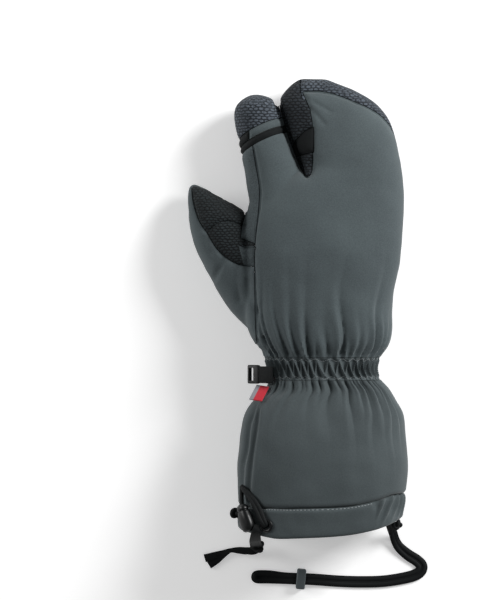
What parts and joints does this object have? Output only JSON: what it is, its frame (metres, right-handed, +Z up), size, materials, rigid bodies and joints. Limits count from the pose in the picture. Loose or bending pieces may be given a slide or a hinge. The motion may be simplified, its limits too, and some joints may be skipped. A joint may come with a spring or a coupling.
{
  "type": "convertible mitten",
  "caption": "Padded right-hand mitten with a separate index finger, fold-back tips, a gathered wrist, a flared gauntlet and a drawcord, lying palm down.",
  "frame": {"origin": "on the surface it lies on, under the middle of the box round the mitten without its loose cords", "axes": "+Y from the cuff to the fingertips, +Z up out of the back of the hand, +X away from the thumb"},
  "size_m": [0.1705, 0.3646, 0.0757],
  "materials": {
    "softshell": "grey soft shell cloth",
    "grip": "dark knitted grip cloth",
    "stretch": "black stretch cloth",
    "webbing": "black cord and webbing",
    "plastic": "black moulded plastic",
    "slider": "grey moulded plastic",
    "label": "woven label, grey and red"
  },
  "bodies": {
    "root": {"finger_band": "stretch", "finger_gusset": "stretch", "finger_strip": "softshell", "finger_cap": "grip", "slot_panel": "stretch", "back_panel": "softshell", "mitten_hood": "grip", "palm_heel": "softshell", "side_strip": "grip", "thumb_panel": "softshell", "thumb_grip": "grip", "web_patch": "grip", "palm_panel": "grip", "wrist_band": "softshell", "gauntlet": "softshell", "hem": "softshell", "grommet": "plastic", "cord_lock_body": "plastic", "cord_lock_knot": "webbing", "shock_cord": "webbing", "tab_webbing": "webbing", "tab_frame": "plastic", "side_label": "label", "pull_tape": "webbing", "pull_tape_knot": "webbing", "leash": "webbing", "leash_knot": "webbing", "leash_slider": "slider"}
  },
  "joints": []
}
